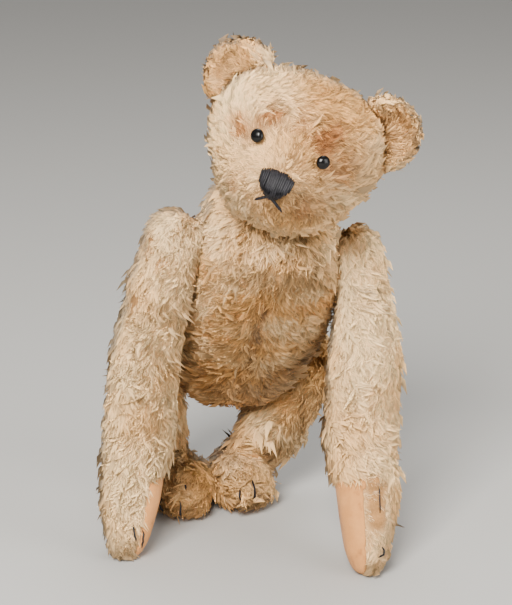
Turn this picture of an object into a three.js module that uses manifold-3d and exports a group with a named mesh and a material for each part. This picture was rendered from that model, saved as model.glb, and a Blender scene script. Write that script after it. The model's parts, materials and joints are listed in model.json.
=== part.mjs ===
// A worn, fully jointed mohair teddy bear standing on all fours, its head lifted and cocked to one side.
// Millimetres. +Z is up, the floor is z = 0, the bear faces -Y and its own left side is +X.
// Each soft piece is a sewn cover over a packed filling; five pinned disc joints join them.
import * as THREE from "three";
import { mergeVertices } from "three/addons/utils/BufferGeometryUtils.js";
import Module from "manifold-3d";

const wasm = await Module();
wasm.setup();

// Cloth, gaps and colours
const CLOTH = 2.2;
const GAP = 0.3;
const JOINT_GAP = 0.8;
const MOHAIR = 0xc9ab82;
const MOHAIR_PALE = 0xd3b791;
const WOOD_WOOL = 0xb99a63;
const FELT = 0xcaa285;
const BUTTON_BLACK = 0x0b0a0a;
const THREAD_BLACK = 0x14120f;
const CARDBOARD = 0x8a6c48;
const STEEL = 0x8d8b86;

// Joints: where each pin leaves the body's axis, its tilt, how flat the body is pressed there, its disc
const SHOULDER_PINS = {
  left: { along: 34, tilt: 11.5, press: 3, discRadius: 12 },
  right: { along: 36, tilt: 3, press: 3.4, discRadius: 12 },
};
const HIP_PINS = {
  left: { along: -38, tilt: -19, press: 3.2, discRadius: 13.5 },
  right: { along: -38, tilt: -13, press: 3.4, discRadius: 13 },
};
const NECK_PRESS = 3.5;
const NECK_DISC_RADIUS = 11.8;

// Pose: how far each limb slants forward, how far down it lies flat on the body, where the feet stand
const ARM_SLANT = { left: 19, right: 4 };
const LEG_SLANT = { left: -8, right: -5 };
const ARM_FLAT = { left: 45, right: 80 };
const LEG_FLAT = 30;
const FOOT_PLACES = {
  left: { centre: [-3.5, 58, 12], turn: 3 },
  right: { centre: [-35, 52, 12], turn: -2 },
};

// Body
const BODY_TOP = 76;
const NECK_BACK = 7;
const BODY_BOTTOM = 72;
const BODY_HALF_WIDTH = 37.5;
const BODY_FRONT = 36;
const BODY_BACK = 34;
const BODY_LEAN = 40;
const BODY_ROLL = 8.5;
const BODY_CENTRE = [-2, 30, 113];

// Head
const HEAD_HALF_WIDTH = 40.5;
const HEAD_UP = 32;
const HEAD_DOWN = 42;
const HEAD_FRONT = 37;
const HEAD_BACK = 41;
const MUZZLE_REACH = 13;
const HEAD_TURN = -16;
const HEAD_LIFT = 8;
const HEAD_TILT = 21;
const HEAD_CENTRE = [11, -32, 207];

// Ears, eyes, nose and mouth, measured from the point between the eyes
const EAR_RADIUS = 17;
const EAR_SIDE = 36;
const EAR_UP = 18.5;
const EYE_SIDE = 14.8;
const EYE_RADIUS = 3.3;
const NOSE_WIDTH = 15.5;
const NOSE_HEIGHT = 12.5;
const NOSE_DROP = 17;
const MOUTH_LENGTH = 10;

// Arms
const ARM_TOP = 18;
const ARM_REACH = { left: 149.8, right: 153 };
const ARM_THICKNESS = 35.5;
const ARM_DEPTH = 39;
const PAD_HEIGHT = 48;
const ARM_BEND = { left: 0, right: -2 };
const ARM_ELBOW = { left: -5, right: -1 };
const ARM_SHOULDER = { left: 0.7, right: 0.84 };
const PAD_SEAM = { left: -2.5, right: -6 };

// Legs
const LEG_TOP = 20;
const LEG_REACH = 82;
const LEG_BEND = { left: -8, right: -1 };
const LEG_THICKNESS = 30.5;
const LIMB_PRESS = 3;
const LEG_DEPTH = 42;
const FOOT_LENGTH = 57;
const FOOT_WIDTH = 30.5;
const FOOT_HEIGHT = 27;

// Joint hardware
const DISC_THICKNESS = 2.4;
const WASHER_RADIUS = 5.5;
const WASHER_THICKNESS = 0.9;
const PIN_WIRE = 0.85;
const PIN_HOLE = 2.5;

const degrees = THREE.MathUtils.degToRad;

// ---------- making and cutting solids ----------

function welded(geometry) {
  const bare = geometry.clone();
  bare.deleteAttribute("normal");
  bare.deleteAttribute("uv");
  return mergeVertices(bare, 1e-4);
}

function solidOf(geometry) {
  const mesh = welded(geometry);
  const triangles = new Uint32Array(mesh.index.array);
  const make = () => new wasm.Manifold(
    new wasm.Mesh({
      numProp: 3,
      vertProperties: new Float32Array(mesh.attributes.position.array),
      triVerts: triangles,
    }),
  );
  const solid = make();
  if (solid.volume() > 0) return solid;
  for (let i = 0; i < triangles.length; i += 3) {
    [triangles[i + 1], triangles[i + 2]] = [triangles[i + 2], triangles[i + 1]];
  }
  return make();
}

function largestOf(solid) {
  const bodies = solid.decompose();
  return bodies.reduce((a, b) => (b.volume() > a.volume() ? b : a));
}

function geometryOf(solid) {
  const mesh = largestOf(solid).getMesh();
  const geometry = new THREE.BufferGeometry();
  const corners = new Float32Array(mesh.numVert * 3);
  for (let i = 0; i < mesh.numVert; i += 1) {
    for (let k = 0; k < 3; k += 1) corners[3 * i + k] = mesh.vertProperties[i * mesh.numProp + k];
  }
  geometry.setAttribute("position", new THREE.BufferAttribute(corners, 3));
  geometry.setIndex(new THREE.BufferAttribute(new Uint32Array(mesh.triVerts), 1));
  return geometry;
}

function moved(geometry, matrix) {
  return solidOf(geometry.clone().applyMatrix4(matrix));
}

// A closed round form: every point of a unit ball is carried to its place by shape(point).
function softForm(segments, rings, shape) {
  const geometry = welded(new THREE.SphereGeometry(1, segments, rings).rotateX(Math.PI / 2));
  const place = geometry.attributes.position;
  const point = new THREE.Vector3();
  for (let i = 0; i < place.count; i += 1) {
    point.fromBufferAttribute(place, i);
    shape(point);
    place.setXYZ(i, point.x, point.y, point.z);
  }
  geometry.computeVertexNormals();
  return geometry;
}

// The same form, larger or smaller by an even amount all round.
function grown(geometry, amount) {
  const copy = geometry.clone();
  const place = copy.attributes.position;
  const normal = copy.attributes.normal;
  for (let i = 0; i < place.count; i += 1) {
    place.setXYZ(
      i,
      place.getX(i) + normal.getX(i) * amount,
      place.getY(i) + normal.getY(i) * amount,
      place.getZ(i) + normal.getZ(i) * amount,
    );
  }
  return copy;
}

// Press every point that lies beyond a plane back on to it.
function pressed(geometry, point, normal) {
  const place = geometry.attributes.position;
  const corner = new THREE.Vector3();
  for (let i = 0; i < place.count; i += 1) {
    corner.fromBufferAttribute(place, i);
    const beyond = corner.clone().sub(point).dot(normal);
    if (beyond > 0) corner.addScaledVector(normal, -beyond);
    place.setXYZ(i, corner.x, corner.y, corner.z);
  }
  geometry.computeVertexNormals();
  return geometry;
}

// Unit ball to superellipsoid: larger powers are squarer and fuller.
function fuller(point, power) {
  const sum = Math.abs(point.x) ** power + Math.abs(point.y) ** power + Math.abs(point.z) ** power;
  point.divideScalar(sum ** (1 / power));
}

// Eases from 0 to 1 as value goes from start to end, either way.
function smooth(start, end, value) {
  const t = THREE.MathUtils.clamp((value - start) / (end - start), 0, 1);
  return t * t * (3 - 2 * t);
}

function hump(value, centre, width) {
  return Math.exp(-(((value - centre) / width) ** 2));
}

// ---------- the bear's own directions ----------

function turned(lean, turn, roll, centre) {
  const matrix = new THREE.Matrix4().makeRotationFromEuler(
    new THREE.Euler(degrees(lean), degrees(roll), degrees(turn), "ZYX"),
  );
  return matrix.setPosition(...centre);
}

const bodyPlace = turned(BODY_LEAN, 0, BODY_ROLL, BODY_CENTRE);

function worldPoint(matrix, x, y, z) {
  return new THREE.Vector3(x, y, z).applyMatrix4(matrix);
}

function worldDirection(matrix, x, y, z) {
  return new THREE.Vector3(x, y, z).transformDirection(matrix);
}

// ---------- body ----------

function bodyShape(point) {
  const squareness = point.z > 0 ? 3.3 : 2.35;
  fuller(point, squareness);
  point.x *= BODY_HALF_WIDTH;
  point.y *= point.y < 0 ? BODY_FRONT : BODY_BACK;
  point.z *= point.z > 0 ? BODY_TOP : BODY_BOTTOM;
  point.y += NECK_BACK * smooth(20, BODY_TOP, point.z);
}

const bodyForm = softForm(18, 13, bodyShape).applyMatrix4(bodyPlace);
bodyForm.computeVertexNormals();

function support(geometry, direction) {
  const place = geometry.attributes.position;
  const corner = new THREE.Vector3();
  let furthest = -Infinity;
  for (let i = 0; i < place.count; i += 1) {
    furthest = Math.max(furthest, corner.fromBufferAttribute(place, i).dot(direction));
  }
  return furthest;
}

// A joint's pin runs out from a point on the body's axis; its face is where body and limb meet.
function jointOn(name, side, { along, tilt, press, discRadius }) {
  const axis = worldDirection(bodyPlace, side * Math.cos(degrees(tilt)), 0, Math.sin(degrees(tilt)));
  const root = worldPoint(bodyPlace, 0, 0, along);
  const face = support(bodyForm, axis) - press;
  const centre = root.clone().addScaledVector(axis, face - root.dot(axis));
  return { name, axis, centre, discRadius };
}

const shoulders = {
  left: jointOn("shoulder_left", 1, SHOULDER_PINS.left),
  right: jointOn("shoulder_right", -1, SHOULDER_PINS.right),
};
const hips = {
  left: jointOn("hip_left", 1, HIP_PINS.left),
  right: jointOn("hip_right", -1, HIP_PINS.right),
};
const neckAxis = worldDirection(bodyPlace, 0, 0, 1);
const neck = {
  name: "neck",
  axis: neckAxis,
  centre: worldPoint(bodyPlace, 0, NECK_BACK, BODY_TOP - NECK_PRESS),
  discRadius: NECK_DISC_RADIUS,
};
const joints = [neck, shoulders.left, shoulders.right, hips.left, hips.right];

for (const joint of joints) {
  const face = joint.centre.clone().addScaledVector(joint.axis, -JOINT_GAP / 2);
  pressed(bodyForm, face, joint.axis);
}

// ---------- limbs ----------

// A limb hangs from its joint: x runs out from the body, y to the back, z up the limb.
function limbPlace(joint, forward) {
  const up = new THREE.Vector3(0, Math.sin(degrees(forward)), Math.cos(degrees(forward)));
  up.addScaledVector(joint.axis, -up.dot(joint.axis)).normalize();
  const back = up.clone().cross(joint.axis);
  if (back.y < 0) back.negate();
  const matrix = new THREE.Matrix4().makeBasis(joint.axis, back, up);
  return matrix.setPosition(joint.centre.x, joint.centre.y, joint.centre.z);
}

function limbForm(segments, rings, shape, matrix) {
  const form = softForm(segments, rings, shape).applyMatrix4(matrix);
  if (matrix.determinant() < 0) {
    const index = form.index.array;
    for (let i = 0; i < index.length; i += 3) [index[i + 1], index[i + 2]] = [index[i + 2], index[i + 1]];
  }
  form.computeVertexNormals();
  return form;
}

const floorPoint = new THREE.Vector3(0, 0, 0);
const down = new THREE.Vector3(0, 0, -1);

function armShape(side) {
  const bend = ARM_BEND[side];
  const elbow = ARM_ELBOW[side];
  const narrow = ARM_SHOULDER[side];
  const reach = ARM_REACH[side];
  return (point) => {
    fuller(point, point.z > 0 ? 2.45 : 3.2);
    const z = point.z > 0 ? point.z * ARM_TOP : point.z * reach;
    const thick = ARM_THICKNESS * (narrow + (1 - narrow) * smooth(12, -48, z) - 0.1 * smooth(-90, -140, z));
    const deep = ARM_DEPTH * (1 - 0.14 * hump(z, -104, 26) - 0.06 * smooth(-120, -150, z));
    const inner = -LIMB_PRESS + bend * smooth(-30, -reach, z) + elbow * hump(z, -72, 24);
    point.x = inner + thick / 2 + (point.x * thick) / 2;
    point.y = (point.y * deep) / 2 + 3 * hump(z, -62, 30) - 7 * smooth(-95, -reach, z);
    point.z = z;
  };
}

const armPlaces = {
  left: limbPlace(shoulders.left, ARM_SLANT.left),
  right: limbPlace(shoulders.right, ARM_SLANT.right),
};
const armForms = {
  left: limbForm(12, 15, armShape("left"), armPlaces.left),
  right: limbForm(12, 15, armShape("right"), armPlaces.right),
};

function legShape(side) {
  return (point) => {
    fuller(point, 2.5);
    const z = point.z > 0 ? point.z * LEG_TOP : point.z * (LEG_REACH - 4);
    const thick = LEG_THICKNESS * (0.9 + 0.1 * smooth(0, -40, z));
    const deep = LEG_DEPTH * (1 - 0.3 * smooth(-10, -60, z));
    const inner = -LIMB_PRESS + LEG_BEND[side] * smooth(-18, -70, z);
    point.x = inner + thick / 2 + (point.x * thick) / 2;
    point.y = (point.y * deep) / 2;
    point.z = z;
  };
}

function footShape(point) {
  fuller(point, 2.3);
  const toe = (1 - point.y) / 2;
  point.x *= (FOOT_WIDTH / 2) * (0.82 + 0.18 * smooth(0, 0.6, toe));
  point.y *= FOOT_LENGTH / 2;
  point.z *= (FOOT_HEIGHT / 2) * (0.94 + 0.06 * hump(toe, 0.75, 0.3));
}

const legPlaces = {
  left: limbPlace(hips.left, LEG_SLANT.left),
  right: limbPlace(hips.right, LEG_SLANT.right),
};

function footPlace(side) {
  const { centre, turn } = FOOT_PLACES[side];
  return new THREE.Matrix4().makeRotationZ(degrees(turn)).setPosition(...centre);
}

const legForms = {};
const footForms = {};
for (const side of ["left", "right"]) {
  legForms[side] = limbForm(12, 11, legShape(side), legPlaces[side]);
  footForms[side] = limbForm(14, 8, footShape, footPlace(side));
}

// The limb lies flat against the body near its joint; further off it may bulge past that plane.
function pressedNearJoint(form, joint, place, reach) {
  const face = joint.centre.clone().addScaledVector(joint.axis, JOINT_GAP / 2);
  const inverse = place.clone().invert();
  const corners = form.attributes.position;
  const corner = new THREE.Vector3();
  for (let i = 0; i < corners.count; i += 1) {
    corner.fromBufferAttribute(corners, i);
    const short = face.clone().sub(corner).dot(joint.axis);
    const near = corner.clone().applyMatrix4(inverse).z > -reach;
    if (short > 0 && near) corner.addScaledVector(joint.axis, short);
    corners.setXYZ(i, corner.x, corner.y, corner.z);
  }
}

for (const side of ["left", "right"]) {
  pressedNearJoint(armForms[side], shoulders[side], armPlaces[side], ARM_FLAT[side]);
  pressedNearJoint(legForms[side], hips[side], legPlaces[side], LEG_FLAT);
  pressed(armForms[side], floorPoint, down);
  pressed(legForms[side], floorPoint, down);
  pressed(footForms[side], floorPoint, down);
}

// ---------- head ----------

const headPlace = turned(-HEAD_LIFT, HEAD_TURN, HEAD_TILT, HEAD_CENTRE);

function headShape(point) {
  fuller(point, 2.35);
  point.x *= HEAD_HALF_WIDTH;
  point.y *= point.y < 0 ? HEAD_FRONT : HEAD_BACK;
  point.z *= point.z > 0 ? HEAD_UP : HEAD_DOWN;
  point.x *= 1 - 0.11 * smooth(0, -20, point.z);
  const front = smooth(5, -20, point.y);
  point.y -= front * MUZZLE_REACH * hump(point.x, 0, 17) * hump(point.z, -21, 17);
}

const headForm = softForm(20, 14, headShape).applyMatrix4(headPlace);
headForm.computeVertexNormals();
pressed(
  headForm,
  neck.centre.clone().addScaledVector(neck.axis, JOINT_GAP / 2),
  neck.axis.clone().negate(),
);

// ---------- joint hardware ----------

function alongAxis(joint, distance, outward) {
  const axis = joint.axis.clone().multiplyScalar(outward);
  const turn = new THREE.Quaternion().setFromUnitVectors(new THREE.Vector3(0, 0, 1), axis);
  const place = joint.centre.clone().addScaledVector(axis, distance);
  return new THREE.Matrix4().compose(place, turn, new THREE.Vector3(1, 1, 1));
}

function roundBlock(radius, height, matrix, segments) {
  const geometry = new THREE.CylinderGeometry(radius, radius, height, segments);
  geometry.rotateX(Math.PI / 2).translate(0, 0, height / 2);
  return moved(geometry, matrix);
}

function ringPlate(outer, inner, thickness, matrix, segments) {
  const profile = [
    new THREE.Vector2(inner, 0),
    new THREE.Vector2(outer, 0),
    new THREE.Vector2(outer, thickness),
    new THREE.Vector2(inner, thickness),
    new THREE.Vector2(inner, 0),
  ];
  return moved(new THREE.LatheGeometry(profile, segments).rotateX(Math.PI / 2), matrix);
}

const DISC_DEPTH = JOINT_GAP / 2 + CLOTH + 1.6;
const WASHER_DEPTH = DISC_DEPTH + DISC_THICKNESS + GAP;
const EYE_DEPTH = WASHER_DEPTH + WASHER_THICKNESS + 0.5;
const POCKET_DEPTH = EYE_DEPTH + 7;

// One bent wire: a round eye on the limb's side, two legs side by side, each curled over in the body.
function pinGeometry() {
  const half = PIN_WIRE + 0.15;
  const eye = 2.6;
  const path = new THREE.CatmullRomCurve3(
    [
      [-5.4, 0, -EYE_DEPTH - 4.2],
      [-6.6, 0, -EYE_DEPTH - 2.4],
      [-5, 0, -EYE_DEPTH - 1.1],
      [-2.4, 0, -EYE_DEPTH - 1.6],
      [-half, 0, -EYE_DEPTH + 1.2],
      [-half, 0, 0],
      [-half, 0, EYE_DEPTH],
      [-eye, 0, EYE_DEPTH + 3],
      [0, 0, EYE_DEPTH + 5.4],
      [eye, 0, EYE_DEPTH + 3],
      [half, 0, EYE_DEPTH],
      [half, 0, 0],
      [half, 0, -EYE_DEPTH + 1.2],
      [2.4, 0, -EYE_DEPTH - 1.6],
      [5, 0, -EYE_DEPTH - 1.1],
      [6.6, 0, -EYE_DEPTH - 2.4],
      [5.4, 0, -EYE_DEPTH - 4.2],
    ].map(([x, y, z]) => new THREE.Vector3(x, y, z)),
  );
  const section = new THREE.Shape();
  section.absarc(0, 0, PIN_WIRE, 0, Math.PI * 2);
  return new THREE.ExtrudeGeometry(section, { steps: 28, curveSegments: 3, extrudePath: path });
}

// ---------- the object ----------

const bear = new THREE.Group();
bear.name = "teddy_bear";

function add(name, solid, colour, roughness, metalness) {
  const material = new THREE.MeshStandardMaterial({ color: colour, roughness, metalness });
  const mesh = new THREE.Mesh(geometryOf(solid), material);
  mesh.name = name;
  bear.add(mesh);
}

// Openings for the pin, and pockets in the filling for the disc, washer and pin.
function pinHole(joint) {
  return roundBlock(PIN_HOLE, 4 * POCKET_DEPTH, alongAxis(joint, -2 * POCKET_DEPTH, 1), 12);
}

function jointPocket(joint, outward) {
  const disc = roundBlock(
    joint.discRadius + GAP,
    DISC_THICKNESS + DISC_DEPTH + GAP,
    alongAxis(joint, 0, outward),
    18,
  );
  const shank = roundBlock(9, POCKET_DEPTH, alongAxis(joint, 0, outward), 12);
  return disc.add(shank);
}

const pinForm = pinGeometry();

function addJoint(joint, limbName) {
  for (const [part, outward] of [["body", -1], [limbName, 1]]) {
    const disc = ringPlate(
      joint.discRadius, PIN_HOLE, DISC_THICKNESS, alongAxis(joint, DISC_DEPTH, outward), 18,
    );
    const washer = ringPlate(
      WASHER_RADIUS, PIN_HOLE, WASHER_THICKNESS, alongAxis(joint, WASHER_DEPTH, outward), 10,
    );
    add(`${joint.name}_${part}_disc`, disc, CARDBOARD, 0.9, 0);
    add(`${joint.name}_${part}_washer`, washer, STEEL, 0.45, 1);
  }
  add(`${joint.name}_pin`, moved(pinForm, alongAxis(joint, 0, 1)), STEEL, 0.45, 1);
}

function coverAndFilling(forms) {
  const outer = forms.map((form) => solidOf(form)).reduce((a, b) => a.add(b));
  const inner = forms.map((form) => solidOf(grown(form, -CLOTH))).reduce((a, b) => a.add(b));
  const filling = forms.map((form) => solidOf(grown(form, -CLOTH - GAP))).reduce((a, b) => a.add(b));
  return { cloth: outer.subtract(inner), filling };
}

// Body
{
  let { cloth, filling } = coverAndFilling([bodyForm]);
  for (const joint of joints) {
    cloth = cloth.subtract(pinHole(joint));
    filling = filling.subtract(jointPocket(joint, -1));
  }
  add("body_cover", cloth, MOHAIR, 0.95, 0);
  add("body_stuffing", filling, WOOD_WOOL, 1, 0);
}

// Head, with holes for the shanks of the eyes
{
  let { cloth, filling } = coverAndFilling([headForm]);
  cloth = cloth.subtract(pinHole(neck));
  filling = filling.subtract(jointPocket(neck, 1));
  const outer = solidOf(headForm);
  const outside = solidOf(grown(headForm, GAP));
  const headSolid = outer;

  for (const side of ["left", "right"]) {
    const hand = side === "left" ? 1 : -1;
    // The eye sits on the face where a line from the front meets it.
    const probe = moved(
      new THREE.BoxGeometry(0.4, 120, 0.4).translate(hand * EYE_SIDE, -60, 0),
      headPlace,
    );
    const inverse = headPlace.clone().invert();
    const cut = new THREE.Box3().setFromBufferAttribute(
      geometryOf(probe.intersect(headSolid)).applyMatrix4(inverse).attributes.position,
    );
    const seat = new THREE.Vector3(hand * EYE_SIDE, cut.min.y, 0);
    const look = new THREE.Vector3(hand * 0.42, -1, 0.06).normalize();
    const turn = new THREE.Quaternion().setFromUnitVectors(new THREE.Vector3(0, 0, 1), look);
    const eyePlace = headPlace.clone().multiply(
      new THREE.Matrix4().compose(seat, turn, new THREE.Vector3(1, 1, 1)),
    );
    const button = new THREE.SphereGeometry(EYE_RADIUS, 12, 8).scale(1, 1, 0.66);
    button.translate(0, 0, EYE_RADIUS * 0.66 + GAP + 0.2);
    const shank = new THREE.CylinderGeometry(0.7, 0.7, 9, 8).rotateX(Math.PI / 2).translate(0, 0, -3);
    const hole = new THREE.CylinderGeometry(1.3, 1.3, 16, 10).rotateX(Math.PI / 2).translate(0, 0, -1);
    add(`eye_${side}`, moved(button, eyePlace).add(moved(shank, eyePlace)), BUTTON_BLACK, 0.12, 0);
    cloth = cloth.subtract(moved(hole, eyePlace));
    filling = filling.subtract(moved(hole, eyePlace));

    // The ear is a cupped half round, its cut edge following the head.
    const ball = new THREE.SphereGeometry(1, 16, 10);
    const earShell = ball.clone().scale(EAR_RADIUS, 6.5, EAR_RADIUS);
    const cup = ball.clone().scale(EAR_RADIUS * 0.86, 7, EAR_RADIUS * 0.86).translate(0, -7, -1);
    const earTurn = new THREE.Matrix4().makeRotationFromEuler(
      new THREE.Euler(degrees(-4), degrees(hand * 42), degrees(hand * 14), "ZYX"),
    );
    const earPlace = headPlace.clone().multiply(earTurn.setPosition(hand * EAR_SIDE, 2, EAR_UP));
    const ear = moved(earShell, earPlace).subtract(moved(cup, earPlace)).subtract(outside);
    add(`ear_${side}`, ear, MOHAIR_PALE, 0.95, 0);
  }

  // Satin-stitched nose and an upside-down V of thread for the mouth, lying on the muzzle
  const nose = new THREE.Shape();
  const w = NOSE_WIDTH / 2;
  const h = NOSE_HEIGHT / 2;
  nose.moveTo(-w, h * 0.72);
  nose.quadraticCurveTo(0, h * 1.25, w, h * 0.72);
  nose.quadraticCurveTo(w * 1.02, h * 0.1, w * 0.62, -h * 0.35);
  nose.quadraticCurveTo(w * 0.3, -h * 1.05, 0, -h);
  nose.quadraticCurveTo(-w * 0.3, -h * 1.05, -w * 0.62, -h * 0.35);
  nose.quadraticCurveTo(-w * 1.02, h * 0.1, -w, h * 0.72);
  const facing = new THREE.Matrix4().makeRotationX(Math.PI / 2);
  const nosePrism = new THREE.ExtrudeGeometry(nose, { depth: 60, bevelEnabled: false, curveSegments: 6 });
  nosePrism.applyMatrix4(facing).translate(0, -20, -NOSE_DROP);
  const stitched = (height) => solidOf(grown(headForm, height)).subtract(outside);
  add("nose_stitching", stitched(1.6).intersect(moved(nosePrism, headPlace)), THREAD_BLACK, 0.7, 0);

  const mouth = new THREE.Shape();
  const fall = degrees(24);
  const spread = MOUTH_LENGTH * Math.cos(fall);
  const drop = MOUTH_LENGTH * Math.sin(fall);
  const thread = 0.9;
  mouth.moveTo(0, 0);
  mouth.lineTo(spread, -drop);
  mouth.lineTo(spread - 0.4, -drop - thread);
  mouth.lineTo(0, -thread * 1.2);
  mouth.lineTo(-spread + 0.4, -drop - thread);
  mouth.lineTo(-spread, -drop);
  mouth.closePath();
  const mouthPrism = new THREE.ExtrudeGeometry(mouth, { depth: 60, bevelEnabled: false });
  mouthPrism.applyMatrix4(facing).translate(0, -20, -NOSE_DROP - h - 1.2);
  add("mouth_stitching", stitched(1.2).intersect(moved(mouthPrism, headPlace)), THREAD_BLACK, 0.7, 0);

  add("head_cover", cloth, MOHAIR, 0.95, 0);
  add("head_stuffing", filling, WOOD_WOOL, 1, 0);
}

// Arms: the felt pad is let into the inner side of the paw
for (const side of ["left", "right"]) {
  const joint = shoulders[side];
  const place = armPlaces[side];
  let { cloth, filling } = coverAndFilling([armForms[side]]);
  const padOutline = (ease) => {
    const shape = new THREE.Shape();
    const low = -ARM_REACH[side] - 20;
    const top = -ARM_REACH[side] + PAD_HEIGHT;
    shape.moveTo(-30, low);
    shape.lineTo(30, low);
    shape.lineTo(30, top - 20);
    shape.quadraticCurveTo(14, top + 4 + ease, 0, top + ease);
    shape.quadraticCurveTo(-14, top + 4 + ease, -30, top - 20);
    shape.closePath();
    const block = new THREE.ExtrudeGeometry(shape, { depth: 60, bevelEnabled: false, curveSegments: 6 });
    // The block's outer side is the seam line down the middle of the paw.
    block.rotateX(Math.PI / 2).rotateZ(Math.PI / 2);
    block.translate(ARM_THICKNESS / 2 - LIMB_PRESS + ARM_BEND[side] + PAD_SEAM[side] - 60 + ease, -3, 0);
    return moved(block, place);
  };
  const pad = cloth.intersect(padOutline(0));
  cloth = cloth.subtract(padOutline(GAP)).subtract(pinHole(joint));
  filling = filling.subtract(jointPocket(joint, 1));
  add(`arm_${side}_cover`, cloth, MOHAIR, 0.95, 0);
  add(`arm_${side}_stuffing`, filling, WOOD_WOOL, 1, 0);
  add(`paw_pad_${side}`, pad, FELT, 0.95, 0);
}

// Legs: the felt sole covers the whole underside of the foot
for (const side of ["left", "right"]) {
  const joint = hips[side];
  let { cloth, filling } = coverAndFilling([legForms[side], footForms[side]]);
  const below = (height) => solidOf(
    new THREE.BoxGeometry(400, 400, 40).translate(0, 0, height - 20),
  );
  const pad = cloth.intersect(below(3));
  cloth = cloth.subtract(below(3 + GAP)).subtract(pinHole(joint));
  filling = filling.subtract(jointPocket(joint, 1));
  add(`leg_${side}_cover`, cloth, MOHAIR, 0.95, 0);
  add(`leg_${side}_stuffing`, filling, WOOD_WOOL, 1, 0);
  add(`foot_pad_${side}`, pad, FELT, 0.95, 0);
}

addJoint(neck, "head");
for (const side of ["left", "right"]) {
  addJoint(shoulders[side], "arm");
  addJoint(hips[side], "leg");
}

// Stand the bear with the middle of its outline over the origin.
const outline = new THREE.Box3().setFromObject(bear);
const middle = outline.getCenter(new THREE.Vector3());
const shift = new THREE.Vector3(-middle.x, -middle.y, -outline.min.z);
for (const mesh of bear.children) mesh.geometry.translate(shift.x, shift.y, shift.z);

// Where each joint turns, for whoever drives the bear
bear.userData.joints = joints.map((joint) => ({
  name: joint.name,
  centre: joint.centre.clone().add(shift).toArray(),
  axis: joint.axis.toArray(),
}));

export default bear;
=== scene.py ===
"""A worn jointed mohair teddy bear on all fours: cloth, pile, felt, buttons and thread over the part."""
import json
import math

import bpy
import numpy as np
from mathutils import Matrix, Vector
from mathutils.bvhtree import BVHTree


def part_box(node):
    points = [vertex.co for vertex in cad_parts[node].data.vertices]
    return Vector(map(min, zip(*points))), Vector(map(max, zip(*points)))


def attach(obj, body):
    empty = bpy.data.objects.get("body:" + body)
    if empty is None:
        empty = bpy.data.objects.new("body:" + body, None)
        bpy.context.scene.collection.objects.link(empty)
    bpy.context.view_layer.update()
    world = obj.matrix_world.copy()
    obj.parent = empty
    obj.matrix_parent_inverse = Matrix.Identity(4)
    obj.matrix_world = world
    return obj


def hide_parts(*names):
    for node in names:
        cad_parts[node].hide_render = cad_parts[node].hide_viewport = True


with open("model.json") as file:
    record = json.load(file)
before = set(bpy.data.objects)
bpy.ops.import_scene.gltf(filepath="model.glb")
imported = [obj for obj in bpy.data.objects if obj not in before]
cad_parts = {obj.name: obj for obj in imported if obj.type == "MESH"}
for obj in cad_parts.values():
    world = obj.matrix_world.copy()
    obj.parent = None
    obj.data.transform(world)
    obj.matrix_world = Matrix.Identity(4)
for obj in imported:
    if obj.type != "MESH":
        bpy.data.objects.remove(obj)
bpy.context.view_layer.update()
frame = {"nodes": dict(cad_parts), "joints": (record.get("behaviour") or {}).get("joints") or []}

# ---------------------------------------------------------------- body
# The trunk is a cover of mohair cloth, sewn down the belly and packed hard with wood wool.
# Its pile is worn on the belly and parts along the seam down the middle; painted shade darkens the lower
# belly, a band under the chin and the parting.


def joined_copy(name, nodes):
    """One loose object made from copies of the named nodes, its vertices merged."""
    bpy.ops.object.select_all(action="DESELECT")
    copies = []
    for node in nodes:
        copy = frame["nodes"][node].copy()
        copy.data = copy.data.copy()
        copy.parent = None
        copy.matrix_world = Matrix.Identity(4)
        copy.hide_render = copy.hide_viewport = False
        bpy.context.collection.objects.link(copy)
        copy.select_set(True)
        copies.append(copy)
    bpy.context.view_layer.objects.active = copies[0]
    if len(copies) > 1:
        bpy.ops.object.join()
    made = bpy.context.view_layer.objects.active
    made.name = made.data.name = name
    for key in list(made.keys()):
        if key.startswith("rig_"):
            del made[key]
    bpy.ops.object.mode_set(mode="EDIT")
    bpy.ops.mesh.select_all(action="SELECT")
    bpy.ops.mesh.remove_doubles(threshold=1e-6)
    bpy.ops.object.mode_set(mode="OBJECT")
    return made


def run_modifier(made, kind, **settings):
    """Adds a modifier and applies it at once."""
    modifier = made.modifiers.new(kind.lower(), kind)
    for key, value in settings.items():
        setattr(modifier, key, value)
    bpy.context.view_layer.objects.active = made
    bpy.ops.object.modifier_apply(modifier=modifier.name)


def finish_surface(made, material):
    """Smooth shading and one material in place of what the copy brought with it."""
    for polygon in made.data.polygons:
        polygon.use_smooth = True
    made.data.materials.clear()
    made.data.materials.append(material)


def outermost_only(made):
    """Keeps the largest separate surface, which drops what is shut up inside."""
    bpy.ops.object.select_all(action="DESELECT")
    made.select_set(True)
    bpy.context.view_layer.objects.active = made
    bpy.ops.object.mode_set(mode="EDIT")
    bpy.ops.mesh.select_all(action="SELECT")
    bpy.ops.mesh.separate(type="LOOSE")
    bpy.ops.object.mode_set(mode="OBJECT")
    parts = list(bpy.context.selected_objects)
    keep = max(parts, key=lambda p: len(p.data.vertices))
    for part in parts:
        if part is not keep:
            bpy.data.objects.remove(part)
    return keep


joint = {j["name"]: j for j in frame["joints"]}


def clear_of_joints(points, names, radius):
    """0 under a joint's disc, where the covers rub, and 1 away from it."""
    clear = np.ones(len(points))
    for name in names:
        clear *= 1 - near(points, joint[name]["pos_m"], radius, 0.25)
    return clear


def tree_of(made):
    """A search tree of an object's faces."""
    corners = [v.co.copy() for v in made.data.vertices]
    return BVHTree.FromPolygons(corners, [tuple(p.vertices) for p in made.data.polygons])


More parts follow.
